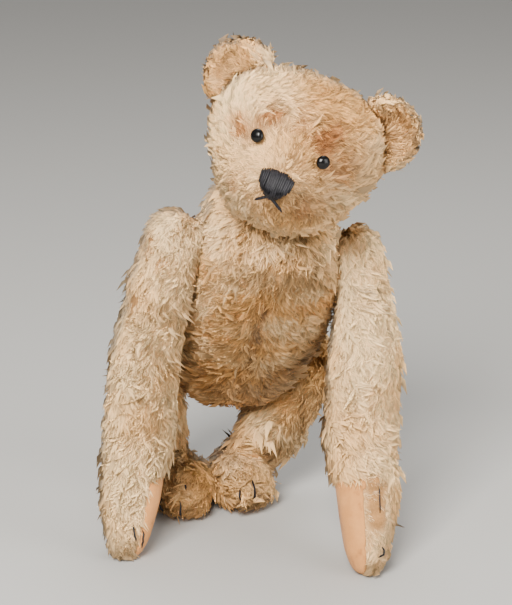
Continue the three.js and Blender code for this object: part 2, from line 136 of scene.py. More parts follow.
def mesh_arrays(skin):
    """Corner positions, their normals and the triangles of a skin."""
    mesh = skin.data
    mesh.calc_loop_triangles()
    corner = np.zeros(len(mesh.vertices) * 3)
    mesh.vertices.foreach_get("co", corner)
    normal = np.zeros(len(mesh.vertices) * 3)
    mesh.vertices.foreach_get("normal", normal)
    index = np.zeros(len(mesh.loop_triangles) * 3, int)
    mesh.loop_triangles.foreach_get("vertices", index)
    return corner.reshape(-1, 3), normal.reshape(-1, 3), index.reshape(-1, 3)


PILE_DEPTH = 0.0019
SKIN_GRAIN = 0.0018
JOINT_SEAT_RADIUS = 0.0175


def soft_skin(name, nodes, joints, depth=None):
    """A smooth closed skin over a stuffed piece, made from its cover and everything packed inside it.
    It is drawn in by the depth of the pile, which stands on it out to the cover's own outline."""
    made = joined_copy(name, nodes)
    run_modifier(made, "REMESH", mode="VOXEL", voxel_size=SKIN_GRAIN)
    made = outermost_only(made)
    made.name = made.data.name = name
    run_modifier(made, "SMOOTH", factor=0.5, iterations=14)
    corner, normal, _ = mesh_arrays(made)
    inward = PILE_DEPTH * clear_of_joints(corner, joints, JOINT_SEAT_RADIUS)
    if depth is not None:
        inward = inward * depth(corner)
    inward = inward[:, None]
    made.data.vertices.foreach_set("co", (corner - normal * inward).reshape(-1))
    made.data.update()
    run_modifier(made, "SMOOTH", factor=0.5, iterations=4)
    finish_surface(made, cloth_material)
    return made


def wander(points, lump, seed):
    """Smooth noise about -1 to 1 at each point; lump is how wide its swells are, in metres."""
    rng = np.random.default_rng(seed)
    total = np.zeros(len(points))
    for _ in range(8):
        wave = rng.normal(size=3) * 2.2 / lump
        total += np.sin(points @ wave + rng.uniform(0, 2 * np.pi))
    return np.clip(total / 2.6, -1.3, 1.3)


def near(points, centre, radius, softness=0.5):
    """1 inside a ball, fading to 0 over its soft edge."""
    distance = np.linalg.norm(points - np.array(centre), axis=1) / radius
    return np.clip((1 + softness - distance) / (2 * softness), 0, 1)


def near_line(points, start, end, radius, softness=0.5):
    """1 inside a sausage from start to end, fading to 0 over its soft edge."""
    a, b = np.array(start), np.array(end)
    along = np.clip(((points - a) @ (b - a)) / ((b - a) @ (b - a)), 0, 1)
    distance = np.linalg.norm(points - a - along[:, None] * (b - a), axis=1) / radius
    return np.clip((1 + softness - distance) / (2 * softness), 0, 1)


def unit(vectors):
    """Each row made one long."""
    return vectors / np.maximum(np.linalg.norm(vectors, axis=1, keepdims=True), 1e-9)


PALE = np.array((0.94, 0.640, 0.328))
GOLD = np.array((0.76, 0.40, 0.135))
BROWN = np.array((0.33, 0.16, 0.055))


def paint_cloth(skin, tint, bare=None):
    """The cloth under the pile has taken the pile's colours, and shows its own where it is bare."""
    corner, normal, _ = mesh_arrays(skin)
    colour = tint(corner, normal) * np.array((0.62, 0.55, 0.46))
    if bare is not None:
        share = bare(corner)[:, None]
        mottle = (1 + 0.14 * wander(corner, 0.004, 3))[:, None]
        colour = colour * (1 - share) + np.array((0.33, 0.16, 0.05)) * mottle * share
    layer = skin.data.color_attributes.new("cloth_colour", "FLOAT_COLOR", "POINT")
    layer.data.foreach_set("color", np.hstack([colour, np.ones((len(corner), 1))]).reshape(-1))


HAIRS_A_TUFT = 6
HAIR_WIDTH = 0.00018
HAIR_CURL = 0.18


def grow_pile(name, skin, body, tufts, length, flow, tint, keep, seed, density=None, lift=0.34,
              spread=0.0011, unruly=1.0, surface=None):
    """Mohair pile as fine blades of hair, set in small tufts over a skin.
    length, flow, tint and keep are functions of the roots and the cloth's own direction there."""
    rng = np.random.default_rng(seed)
    corner, normal, index = mesh_arrays(skin)
    a, b, c = (corner[index[:, k]] for k in range(3))
    area = np.linalg.norm(np.cross(b - a, c - a), axis=1)
    if density is not None:
        area = area * density((a + b + c) / 3)
    face = rng.choice(len(index), size=tufts, p=area / area.sum())
    u, v = rng.random(tufts), rng.random(tufts)
    over = u + v > 1
    u[over], v[over] = 1 - u[over], 1 - v[over]
    w = 1 - u - v
    root = a[face] * w[:, None] + b[face] * u[:, None] + c[face] * v[:, None]
    out = unit(sum(normal[index[face][:, k]] * s[:, None] for k, s in enumerate((w, u, v))))
    kept = rng.random(tufts) < keep(root, out)
    root, out = root[kept], out[kept]
    count = len(root)

    # Each tuft leans one way, with slow swirls from place to place.
    lie = flow(root, out)
    lie = unit(lie - out * np.sum(lie * out, axis=1)[:, None])
    side = np.cross(out, lie)
    swing = unruly * (0.34 * wander(root, 0.013, seed + 11) + 0.24 * wander(root, 0.005, seed + 12)
                      + rng.normal(0, 0.16, count))
    lie, side = (
        lie * np.cos(swing)[:, None] + side * np.sin(swing)[:, None],
        side * np.cos(swing)[:, None] - lie * np.sin(swing)[:, None],
    )
    reach = length(root, out) * np.clip(rng.normal(1, 0.14, count), 0.6, 1.5)
    rise = np.clip(lift + 0.12 * wander(root, 0.008, seed + 13) + rng.normal(0, 0.09, count), 0.06, 1.2)

    # The pile follows the curve of the cloth: each tuft drops to where the surface is under its tip.
    surface = surface or tree_of(skin)
    landing = root + lie * reach[:, None]
    drop = np.array([surface.find_nearest(Vector(p))[0] for p in landing]) - landing
    far = np.linalg.norm(drop, axis=1) / reach
    drop *= np.clip(0.8 / np.maximum(far, 0.8), 0, 1)[:, None]
    shade = np.clip(1 + 0.08 * wander(root, 0.005, seed + 14) + rng.normal(0, 0.16, count), 0.45, 1.45)
    colour = tint(root, out)

    def each(values):
        return np.repeat(values, HAIRS_A_TUFT, axis=0)

    total = count * HAIRS_A_TUFT
    angle = rng.uniform(0, 2 * np.pi, total)
    away = spread * np.sqrt(rng.random(total))
    root_h, out_h, lie_h, side_h = each(root), each(out), each(lie), each(side)
    offset = lie_h * (away * np.cos(angle))[:, None] + side_h * (away * np.sin(angle))[:, None]
    drop_h = each(drop)
    reach_h = each(reach) * np.clip(rng.normal(1, 0.2, total), 0.5, 1.5)
    rise_h = each(rise) * np.clip(rng.normal(1, 0.35, total), 0.2, 2.0)
    rise_h = rise_h + 0.5 * (rng.random(total) < 0.05)
    bow = rng.normal(0, HAIR_CURL, total) + each(rng.normal(0, HAIR_CURL, count))
    stray = rng.normal(0, 0.13, total)
    lie_h = unit(lie_h + side_h * stray[:, None])
    side_h = np.cross(out_h, lie_h)
    twist = rng.normal(0, 0.5, total)
    across = side_h * np.cos(twist)[:, None] + out_h * np.sin(twist)[:, None]

    levels = np.array((0.0, 0.0, 0.55, 1.0))
    sides = np.array((-1.0, 1.0, -0.8, 0.0))
    points = np.zeros((total, 4, 3))
    fine = HAIR_WIDTH / 2 * rng.uniform(0.7, 1.3, total)
    for k, (s, hand) in enumerate(zip(levels, sides)):
        forward = reach_h * (s - 0.1 * s * s)
        height = reach_h * rise_h * (s - 0.6 * s * s) + 0.0002 * (1 if s else -2)
        sway = reach_h * bow * s * s
        hold = 1 - 0.2 * s
        points[:, k] = (
            root_h + offset * hold + lie_h * forward[:, None] + out_h * height[:, None]
            + side_h * sway[:, None] + across * (hand * fine)[:, None] + drop_h * s * s
        )
    points[:, :, 2] = np.maximum(points[:, :, 2], 0.0004 + 0.0004 * rng.random((total, 1)))

    made = bpy.data.meshes.new(name)
    made.vertices.add(total * 4)
    made.vertices.foreach_set("co", points.reshape(-1))
    strip = np.array(((0, 2, 1), (1, 2, 3)))
    triangles = (np.arange(total)[:, None, None] * 4 + strip[None]).reshape(-1, 3)
    made.loops.add(len(triangles) * 3)
    made.loops.foreach_set("vertex_index", triangles.reshape(-1).astype(np.int32))
    made.polygons.add(len(triangles))
    made.polygons.foreach_set("loop_start", (np.arange(len(triangles)) * 3).astype(np.int32))
    made.update(calc_edges=True)

    # Painted shade darkens each hair towards its root, between the hairs, and a painted highlight lightens
    # its tip.
    root_shade_to_tip_highlight = np.array((0.36, 0.36, 0.93, 1.16))
    hair = each(colour) * each(shade)[:, None] * np.clip(rng.normal(1, 0.2, total), 0.45, 1.5)[:, None]
    tone = hair[:, None, :] * root_shade_to_tip_highlight[None, :, None]
    tone = tone * np.minimum(1, 0.95 / tone.max(axis=2, keepdims=True))
    layer = made.color_attributes.new("pile_colour", "FLOAT_COLOR", "POINT")
    layer.data.foreach_set("color", np.concatenate([tone, np.ones((total, 4, 1))], axis=2).reshape(-1))

    # Each hair has its own small cell of the map, so that a bake keeps its colour.
    cells = int(math.ceil(math.sqrt(total)))
    cell = np.stack([np.arange(total) % cells, np.arange(total) // cells], axis=1)
    place = np.stack([0.5 + 0.28 * sides, 0.14 + 0.72 * levels], axis=1)
    uv = (cell[:, None, :] + place[None]) / cells
    flat = uv.reshape(-1, 2)[triangles.reshape(-1)]
    made.uv_layers.new(name="OFBake").data.foreach_set("uv", flat.reshape(-1))

    # The blades are shaded with the roundness of the cloth they grow from.
    soft = unit((out_h - 0.18 * lie_h)[:, None, :] + lie_h[:, None, :] * (0.45 * levels)[None, :, None]
                + across[:, None, :] * (0.3 * sides)[None, :, None])
    made.polygons.foreach_set("use_smooth", np.ones(len(triangles), bool))
    made.normals_split_custom_set_from_vertices(soft.reshape(-1, 3).tolist())
    grown = bpy.data.objects.new(name, made)
    bpy.context.collection.objects.link(grown)
    made.materials.append(pile_material)
    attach(grown, body)
    return grown


def new_material(label):
    """A material with its node tree and the shader that fills it."""
    material = bpy.data.materials.new(label)
    material.use_nodes = True
    return material, material.node_tree, material.node_tree.nodes["Principled BSDF"]


pile_material, tree, shader = new_material("mohair pile")
shader.inputs["Roughness"].default_value = 0.56
shader.inputs["Specular IOR Level"].default_value = 0.3
shader.inputs["Sheen Weight"].default_value = 0.1
shader.inputs["Sheen Roughness"].default_value = 0.4
shader.inputs["Sheen Tint"].default_value = (1, 0.86, 0.7, 1)
hair_colour = tree.nodes.new("ShaderNodeAttribute")
hair_colour.attribute_name = "pile_colour"
tree.links.new(hair_colour.outputs["Color"], shader.inputs["Base Color"])

# A hair is lit from its outer side whichever of its faces is seen, as fine translucent hair is.
face_side = tree.nodes.new("ShaderNodeNewGeometry")
outward_sign = tree.nodes.new("ShaderNodeMapRange")
outward_sign.inputs["To Min"].default_value = 1
outward_sign.inputs["To Max"].default_value = -1
outward_normal = tree.nodes.new("ShaderNodeVectorMath")
outward_normal.operation = "SCALE"
tree.links.new(face_side.outputs["Backfacing"], outward_sign.inputs["Value"])
tree.links.new(face_side.outputs["Normal"], outward_normal.inputs[0])
tree.links.new(outward_sign.outputs["Result"], outward_normal.inputs["Scale"])
tree.links.new(outward_normal.outputs["Vector"], shader.inputs["Normal"])


def mottled_tone_group():
    """Cloudy noise on the piece's own coordinates, as a height and as a colour between a dark and a light."""
    group = bpy.data.node_groups.new("mottled tone", "ShaderNodeTree")
    for socket, kind in (("Scale", "Float"), ("Detail", "Float"), ("Roughness", "Float"), ("Low", "Float"),
                         ("High", "Float"), ("Dark", "Color"), ("Light", "Color")):
        group.interface.new_socket(name=socket, in_out="INPUT", socket_type="NodeSocket" + kind)
    group.interface.new_socket(name="Colour", in_out="OUTPUT", socket_type="NodeSocketColor")
    group.interface.new_socket(name="Height", in_out="OUTPUT", socket_type="NodeSocketFloat")
    given = group.nodes.new("NodeGroupInput")
    result = group.nodes.new("NodeGroupOutput")
    place = group.nodes.new("ShaderNodeTexCoord")
    cloud = group.nodes.new("ShaderNodeTexNoise")
    share = group.nodes.new("ShaderNodeMapRange")
    blend = group.nodes.new("ShaderNodeMix")
    blend.data_type = "RGBA"
    for start, end in (
        (place.outputs["Object"], cloud.inputs["Vector"]),
        (given.outputs["Scale"], cloud.inputs["Scale"]),
        (given.outputs["Detail"], cloud.inputs["Detail"]),
        (given.outputs["Roughness"], cloud.inputs["Roughness"]),
        (cloud.outputs["Fac"], share.inputs["Value"]),
        (given.outputs["Low"], share.inputs["From Min"]),
        (given.outputs["High"], share.inputs["From Max"]),
        (share.outputs["Result"], blend.inputs["Factor"]),
        (given.outputs["Dark"], blend.inputs["A"]),
        (given.outputs["Light"], blend.inputs["B"]),
        (blend.outputs["Result"], result.inputs["Colour"]),
        (cloud.outputs["Fac"], result.inputs["Height"]),
    ):
        group.links.new(start, end)
    return group


mottled_tone = mottled_tone_group()


def mottled(tree, scale, dark=(0, 0, 0), light=(1, 1, 1), detail=3.0, roughness=0.5, low=0.3, high=0.7):
    """The mottled tone group placed in a material with its own values."""
    node = tree.nodes.new("ShaderNodeGroup")
    node.node_tree = mottled_tone
    for socket, value in (("Scale", scale), ("Detail", detail), ("Roughness", roughness), ("Low", low),
                          ("High", high), ("Dark", (*dark, 1)), ("Light", (*light, 1))):
        node.inputs[socket].default_value = value
    return node


def bump(tree, shader, height, strength, distance):
    """Fine relief on a shader's surface from a height."""
    node = tree.nodes.new("ShaderNodeBump")
    node.inputs["Strength"].default_value = strength
    node.inputs["Distance"].default_value = distance
    tree.links.new(height, node.inputs["Height"])
    tree.links.new(node.outputs["Normal"], shader.inputs["Normal"])


def weave_height(tree, pitch):
    """Plain weave: two crossed sets of fine ridges."""
    place = tree.nodes.new("ShaderNodeTexCoord")
    waves = []
    for direction in ("X", "Z"):
        wave = tree.nodes.new("ShaderNodeTexWave")
        wave.bands_direction = direction
        wave.inputs["Scale"].default_value = 0.31 / pitch
        wave.inputs["Distortion"].default_value = 1.2
        wave.inputs["Detail"].default_value = 2
        tree.links.new(place.outputs["Object"], wave.inputs["Vector"])
        waves.append(wave)
    blend = tree.nodes.new("ShaderNodeMath")
    blend.operation = "MULTIPLY"
    for k in range(2):
        tree.links.new(waves[k].outputs["Fac"], blend.inputs[k])
    return blend.outputs["Value"]


cloth_material, tree, shader = new_material("bare backing cloth")
shader.inputs["Roughness"].default_value = 0.9
cloth_colour = tree.nodes.new("ShaderNodeAttribute")
cloth_colour.attribute_name = "cloth_colour"
patchy = mottled(tree, 900, (0.72, 0.70, 0.66), (1.15, 1.15, 1.15), detail=4, roughness=0.7)
faded = tree.nodes.new("ShaderNodeMix")
faded.data_type = "RGBA"
faded.blend_type = "MULTIPLY"
faded.inputs["Factor"].default_value = 1
tree.links.new(cloth_colour.outputs["Color"], faded.inputs["A"])
tree.links.new(patchy.outputs["Colour"], faded.inputs["B"])
tree.links.new(faded.outputs["Result"], shader.inputs["Base Color"])
bump(tree, shader, weave_height(tree, 0.0007), 0.5, 0.0003)

JOINTS = ["neck_turn", "shoulder_left_turn", "shoulder_right_turn", "hip_left_turn", "hip_right_turn"]
body_skin = soft_skin("body_cloth", ["body_cover", "body_stuffing"] + [
    f"{name.removesuffix('_turn')}_body_{part}" for name in JOINTS for part in ("disc", "washer")], JOINTS)
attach(body_skin, "torso")
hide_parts("body_cover")

neck = np.array(joint["neck_turn"]["pos_m"])
body_up = np.array(joint["neck_turn"]["axis"])
body_up = body_up / np.linalg.norm(body_up)
body_side = np.cross(body_up, (0, 1, 0))
body_side = body_side / np.linalg.norm(body_side)
if body_side[0] < 0:
    body_side = -body_side
body_back = np.cross(body_up, body_side)
if body_back[1] < 0:
    body_back = -body_back
body_middle = neck - body_up * 0.072 - body_back * 0.007


def on_body(points):
    """Side, back and height of each point in the trunk's own directions."""
    q = points - body_middle
    return q @ body_side, q @ body_back, q @ body_up


def body_flow(points, out):
    side, back, up = on_body(points)
    front = np.clip(-back / 0.025 + 0.2, 0, 1)
    away = np.tanh(side / 0.009) * front * np.clip(1.25 - np.abs(up + 0.005) / 0.07, 0, 1)
    down = 1.0 - 0.7 * front * np.clip(np.abs(side) / 0.012, 0, 1) * np.clip(1.2 - np.abs(up) / 0.06, 0, 1)
    return -body_up[None] * down[:, None] + body_side[None] * away[:, None]


PARTING = ((0.0040, -0.0235, 0.1265), (-0.0018, -0.0095, 0.1010))
BODY_TUFTS = 15000
BODY_PILE_LENGTH = 0.0085


def body_tint(points, out):
    side, back, up = on_body(points)
    front = np.clip(-back / 0.02, 0, 1)
    mix = 0.62 + 0.35 * wander(points, 0.014, 6) - 0.28 * front * np.exp(-((side / 0.022) ** 2))
    mix = np.clip(mix, 0, 1)[:, None]
    colour = PALE * mix + GOLD * (1 - mix)
    # Painted shade: darker towards the bottom of the front, where the belly turns under, and a band across
    # the chest just under the chin.
    painted_shade = front * np.clip((0.03 - up) / 0.075, 0, 1) * (0.75 + 0.35 * wander(points, 0.014, 5))
    painted_shade = painted_shade + 0.5 * front * near(up[:, None] * np.array((0, 0, 1.0)), (0, 0, 0.062), 0.008, 0.6)
    # Painted shade along the seam's parting: a dark line down the lower middle of the front.
    parting = np.exp(-((side / 0.0022) ** 2)) * front * np.clip(1.3 - np.abs(up + 0.002) / 0.03, 0, 1)
    line = near_line(points, *PARTING, 0.0017, 0.6) * (1 + 0.4 * wander(points, 0.006, 8))
    painted_shade = np.clip(0.75 * painted_shade + 0.6 * parting + 0.9 * line, 0, 0.95)[:, None]
    return colour * (1 - painted_shade) + BROWN * painted_shade * (1 - 0.35 * np.clip(line, 0, 1))[:, None]


def body_keep(points, out):
    side, back, up = on_body(points)
    seam = np.exp(-((side / 0.0011) ** 2)) * np.clip(-back / 0.02, 0, 1)
    rubbed = clear_of_joints(points, JOINTS[:1], 0.009) * clear_of_joints(points, JOINTS[1:], 0.0165)
    return rubbed * (1 - 0.5 * seam)


def body_length(points, out):
    side, back, up = on_body(points)
    seam = np.exp(-((side / 0.003) ** 2)) * np.clip(-back / 0.02, 0, 1)
    side_rub = np.clip((np.abs(side) - 0.026) / 0.008, 0, 1) * np.clip((up + 0.03) / 0.02, 0, 1)
    parted = near_line(points, *PARTING, 0.0035, 0.5)
    return BODY_PILE_LENGTH * (1 - 0.3 * seam) * (1 - 0.5 * side_rub) * (1 - 0.45 * parted)


paint_cloth(body_skin, body_tint)
grow_pile("body_pile", body_skin, "torso", BODY_TUFTS, body_length, body_flow, body_tint, body_keep, seed=21)

# ---------------------------------------------------------------- head
# The head is one stuffed ball with a short muzzle, the pile clipped there and long on the cheeks.
# Rust-brown stains spread from the eyes; the head turns on its disc joint at the neck.


def middle(node):
    """The middle of a node's box."""
    low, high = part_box(node)
    return (low + high) / 2


HEAD_TURN, HEAD_TILT, HEAD_LIFT = math.radians(-16), math.radians(21), math.radians(-8)
face_turn = (Matrix.Rotation(HEAD_TURN, 3, "Z") @ Matrix.Rotation(HEAD_TILT, 3, "Y")
             @ Matrix.Rotation(HEAD_LIFT, 3, "X"))
face_middle = (middle("eye_left") + middle("eye_right")) / 2
face_axes = np.array(face_turn)


def on_face(points):
    """Side, back and height of each point from between the eyes, in the head's own directions."""
    q = (points - np.array(face_middle)) @ face_axes
    return q[:, 0], q[:, 1], q[:, 2]


def from_face(side, back, up):
    return np.array(face_middle) + face_axes @ np.array((side, back, up))


eye_spots = [np.array(middle(f"eye_{side}")) for side in ("left", "right")]
muzzle = from_face(0, -0.008, -0.021)


def head_depth(points):
    return 1 - 0.5 * near(points, muzzle, 0.021, 0.5)


head_skin = soft_skin("head_cloth", ["head_cover", "head_stuffing", "neck_head_disc", "neck_head_washer"],
                      ["neck_turn"], depth=head_depth)
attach(head_skin, "head")
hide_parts("head_cover")


def head_flow(points, out):
    """Hair runs back from the nose over the whole head, and sideways across the forehead."""
    side, back, up = on_face(points)
    away = unit(points - from_face(0, -0.012, -0.014))
    forehead = np.exp(-(((up - 0.014) / 0.010) ** 2)) * (back < 0.022)
    sideways = np.tile(face_axes[:, 0], (len(points), 1))
    return away * (1 - 0.75 * forehead)[:, None] + sideways * (0.9 * forehead)[:, None]


RUST = np.array((0.38, 0.155, 0.050))
HEAD_TUFTS = 16200
MUZZLE_PILE_LENGTH, HEAD_PILE_LENGTH = 0.0046, 0.0072

# Each stain: its side and height on the face, its radius and how strong it is.
RUST_SPOTS = (
    ((0.0110, 0.0095), 0.0066, 0.95), ((0.0045, 0.0070), 0.0050, 0.75), ((0.0200, -0.0015), 0.0050, 0.85),
    ((0.0150, 0.0045), 0.0050, 0.9), ((-0.0140, 0.0062), 0.0046, 1.0), ((-0.0200, -0.0020), 0.0052, 0.9),
    ((-0.0205, 0.0120), 0.0035, 0.5), ((0.0135, -0.0200), 0.0048, 0.65), ((-0.0150, -0.0235), 0.0030, 0.5),
    ((0.0030, -0.0400), 0.0060, 0.4), ((-0.0148, 0.0), 0.0040, 0.7), ((0.0148, 0.0), 0.0040, 0.7),
)


def head_tint(points, out):
    side, back, up = on_face(points)
    mix = 0.68 + 0.34 * wander(points, 0.018, 31) - 0.3 * np.clip(side / 0.03, 0, 1)
    mix = mix - 0.28 * np.exp(-(((up - 0.020) / 0.013) ** 2) - ((side / 0.018) ** 2))
    mix = np.clip(mix, 0, 1)[:, None]
    colour = PALE * mix + GOLD * (1 - mix)
    front = np.clip(1.2 - back / 0.02, 0, 1)
    brow = 0.5 * np.exp(-(((up - 0.011) / 0.010) ** 2) - (((side - 0.003) / 0.022) ** 2)) * front
    rust = np.maximum(brow, 0.25 * near(points, muzzle, 0.017, 0.8))
    for place, radius, strength in RUST_SPOTS:
        gap = np.hypot(side - place[0], up - place[1]) / radius
        rust = np.maximum(rust, strength * front * np.clip((2.0 - gap) / 1.6, 0, 1))
    rust = np.clip(rust * (0.95 + 0.4 * wander(points, 0.006, 33)), 0, 1)[:, None]
    return colour * (1 - rust) + RUST * rust


NOSE_HALF_WIDTH = 0.0082
NOSE_UP = -0.0170


def nose_span(across):
    """Height of the nose's upper and lower edges, at a share of its half width from the middle."""
    x = np.abs(across)
    return NOSE_UP + 0.0040 + 0.0026 * (1 - x ** 2.4), NOSE_UP - 0.0066 + 0.0062 * x ** 2.2


def in_nose(points, ease=0.0):
    side, back, up = on_face(points)
    x = np.abs(side) / (NOSE_HALF_WIDTH + ease)
    top, bottom = nose_span(np.minimum(x, 1))
    return (x < 1) & (up < top + ease) & (up > bottom - ease) & (back < 0.006)


def head_length(points, out):
    side, back, up = on_face(points)
    face = 1 - near(points, muzzle, 0.021, 0.45)
    length = MUZZLE_PILE_LENGTH + (HEAD_PILE_LENGTH - MUZZLE_PILE_LENGTH) * face
    for spot in eye_spots:
        length *= 1 - 0.55 * near(points, spot, 0.007, 0.6)
    forehead = np.exp(-(((up - 0.012) / 0.012) ** 2) - ((side / 0.022) ** 2)) * (back < 0.02)
    length *= 1 - 0.3 * forehead
    length *= 1 + 0.28 * np.clip((np.abs(side) - 0.022) / 0.015, 0, 1) * (up < 0.01)
    return length


def head_keep(points, out):
    kept = clear_of_joints(points, ["neck_turn"], 0.011)
    for spot in eye_spots:
        kept = kept * (1 - near(points, spot, 0.0031, 0.12))
    kept = kept * ~in_nose(points, -0.0016)
    return kept


def head_density(points):
    return 1 + 2.2 * near(points, muzzle, 0.019, 0.45)


paint_cloth(head_skin, head_tint)
grow_pile("head_pile", head_skin, "head", HEAD_TUFTS, head_length, head_flow, head_tint, head_keep,
          seed=41, density=head_density, unruly=0.6)

# ---------------------------------------------------------------- ears
# Two cupped half rounds of mohair sewn to the head's corners, facing forwards and a little out.
# The pile is long at the rim, short and browned in the cup, and bald in one small spot of the right ear.
EAR_DRAWN_IN = 0.9
EAR_TUFTS = 2600
EAR_PILE_LENGTH = 0.0068
EAR_FOOT_DEPTH = 0.013
CUP_BROWN = np.array((0.50, 0.265, 0.10))
for side in ("left", "right"):
    ear = joined_copy(f"ear_{side}_cloth", [f"ear_{side}"])
    run_modifier(ear, "REMESH", mode="VOXEL", voxel_size=0.0008)
    run_modifier(ear, "SMOOTH", factor=0.5, iterations=6)
    ear_middle = np.array(middle(f"ear_{side}"))
    crown = from_face(0, 0.038, 0.0)
    ear_out = unit((ear_middle - crown)[None])[0]
    ear_foot = ear_middle - ear_out * EAR_FOOT_DEPTH
    for vertex in ear.data.vertices:
        vertex.co = Vector(ear_foot + (np.array(vertex.co) - ear_foot) * EAR_DRAWN_IN)
    ear.data.update()
    finish_surface(ear, cloth_material)
    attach(ear, "head")
    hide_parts(f"ear_{side}")
    ear_face = -face_axes[:, 1]

    def in_cup(points, out):
        return np.clip((out @ ear_face) * 2.2, 0, 1) * near(points, ear_middle, 0.0135, 0.25)

    def ear_flow(points, out):
        return unit(points - (ear_middle - ear_out * 0.012)) + 0.4 * ear_out

    def ear_length(points, out):
        return EAR_PILE_LENGTH - 0.0015 * in_cup(points, out)

    def ear_tint(points, out):
        cup = in_cup(points, out)[:, None]
        mix = np.clip(0.4 + 0.4 * wander(points, 0.01, 51), 0, 1)[:, None]
        return (PALE * mix + GOLD * (1 - mix)) * (1 - 0.8 * cup) + CUP_BROWN * 0.8 * cup

    def ear_keep(points, out):
        bald = near(points, ear_middle + ear_face * 0.004 - ear_out * 0.002, 0.0032, 0.3) * (side == "right")
        return 1 - bald

    paint_cloth(ear, ear_tint)
    grow_pile(f"ear_{side}_pile", ear, "head", EAR_TUFTS, ear_length, ear_flow, ear_tint, ear_keep,
              seed=52 if side == "left" else 53, lift=0.5, spread=0.0007)

# ---------------------------------------------------------------- eyes
# Black boot buttons, glossy but scratched.
# Each is sewn on by a wire shank pushed through the cloth of the face.
button_material, tree, shader = new_material("boot button black")
shader.inputs["Base Color"].default_value = (0.003, 0.0025, 0.0025, 1)
shader.inputs["Coat Weight"].default_value = 0.1
shader.inputs["Specular IOR Level"].default_value = 0.24
scratch = tree.nodes.new("ShaderNodeMapRange")
scratch.inputs["To Min"].default_value = 0.08
scratch.inputs["To Max"].default_value = 0.3
tree.links.new(mottled(tree, 900).outputs["Height"], scratch.inputs["Value"])
tree.links.new(scratch.outputs["Result"], shader.inputs["Roughness"])
for side in ("left", "right"):
    eye = joined_copy(f"eye_{side}_button", [f"eye_{side}"])
    run_modifier(eye, "REMESH", mode="VOXEL", voxel_size=0.0003)
    run_modifier(eye, "SMOOTH", factor=0.5, iterations=5)
    finish_surface(eye, button_material)
    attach(eye, "head")
    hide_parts(f"eye_{side}")

# ---------------------------------------------------------------- nose and mouth
# The nose is black cotton in close upright satin stitches over a small padded shape.
# Two long stitches spread from its foot for the mouth.


THREAD_SIDES = 6
THREAD_UP = np.array((0.31, -0.52, 0.79))  # a way that no thread runs


def laid_threads(name, paths, radius, body=None):
    """Each path becomes one round thread, thinner at its two ends."""
    corners, faces = [], []
    for path in paths:
        path = np.asarray(path, float)
        n = len(path)
        along = unit(np.gradient(path, axis=0))
        across = unit(np.cross(along, THREAD_UP))
        third = np.cross(along, across)
        thick = radius * np.clip(np.sin(np.linspace(0.18, math.pi - 0.18, n)) * 2.8, 0.35, 1)
        first = len(corners)
        for k in range(n):
            for j in range(THREAD_SIDES):
                angle = 2 * math.pi * j / THREAD_SIDES
                around = across[k] * math.cos(angle) + third[k] * math.sin(angle)
                corners.append(path[k] + thick[k] * around)
        for k in range(n - 1):
            for j in range(THREAD_SIDES):
                ring = first + k * THREAD_SIDES
                p, q = ring + j, ring + (j + 1) % THREAD_SIDES
                faces.append((p, q, q + THREAD_SIDES, p + THREAD_SIDES))
        faces.append(tuple(first + j for j in reversed(range(THREAD_SIDES))))
        faces.append(tuple(first + (n - 1) * THREAD_SIDES + j for j in range(THREAD_SIDES)))
    mesh = bpy.data.meshes.new(name)
    mesh.from_pydata([tuple(c) for c in corners], [], faces)
    mesh.polygons.foreach_set("use_smooth", np.ones(len(faces), bool))
    mesh.materials.append(thread_material)
    made = bpy.data.objects.new(name, mesh)
    bpy.context.collection.objects.link(made)
    bpy.ops.object.select_all(action="DESELECT")
    made.select_set(True)
    bpy.context.view_layer.objects.active = made
    bpy.ops.object.mode_set(mode="EDIT")
    bpy.ops.mesh.select_all(action="SELECT")
    bpy.ops.mesh.normals_make_consistent(inside=False)
    bpy.ops.object.mode_set(mode="OBJECT")
    if body:
        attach(made, body)
    return made


thread_material, tree, shader = new_material("black cotton thread")
shader.inputs["Roughness"].default_value = 0.55
shader.inputs["Specular IOR Level"].default_value = 0.35
faded = mottled(tree, 700, (0.0025, 0.0025, 0.004), (0.013, 0.012, 0.017), low=0.35)
tree.links.new(faded.outputs["Colour"], shader.inputs["Base Color"])
bump(tree, shader, mottled(tree, 2600, detail=1).outputs["Height"], 0.5, 0.0002)

muzzle_tree = tree_of(frame["nodes"]["head_cover"])
nose_tree = tree_of(frame["nodes"]["nose_stitching"])
face_forward = Vector(face_axes @ np.array((0, -1, 0)))


def on_muzzle(side, up, proud):
    """The point of the muzzle straight behind a place on the face, stood off by proud."""
    start = Vector(from_face(side, -0.06, up))
    hit = nose_tree.ray_cast(start, -face_forward)[0]
    if hit is None:
        hit = muzzle_tree.ray_cast(start, -face_forward)[0]
        proud = proud + 0.0004
    return np.array(hit + face_forward * proud)


rng = np.random.default_rng(7)
stitches = []
for layer, count in ((0, 17), (1, 16)):
    for k in range(count):
        across = ((k + 0.5) / count * 2 - 1) * 0.985 + rng.uniform(-0.012, 0.012)
        top, bottom = nose_span(min(abs(across), 0.97))
        top, bottom = top + rng.uniform(-0.0003, 0.0003), bottom + rng.uniform(-0.0003, 0.0003)
        lean = rng.uniform(-0.0002, 0.0002)
        steps = np.linspace(0, 1, 7)
        rise = 0.0004 + 0.0002 * layer + 0.0006 * np.sin(steps * math.pi) * (1 - 0.6 * across * across)
        stitches.append([
            on_muzzle(NOSE_HALF_WIDTH * across * (1 - 0.08 * s) + lean * s, top + (bottom - top) * s, r)
            for s, r in zip(steps, rise)
        ])
nose_threads = laid_threads("nose_threads", stitches, 0.00052)
nose_base = joined_copy("nose_base", ["nose_stitching"])
run_modifier(nose_base, "REMESH", mode="VOXEL", voxel_size=0.0003)
run_modifier(nose_base, "SMOOTH", factor=0.5, iterations=8)
nose_base.data.materials.clear()
nose_base.data.materials.append(thread_material)
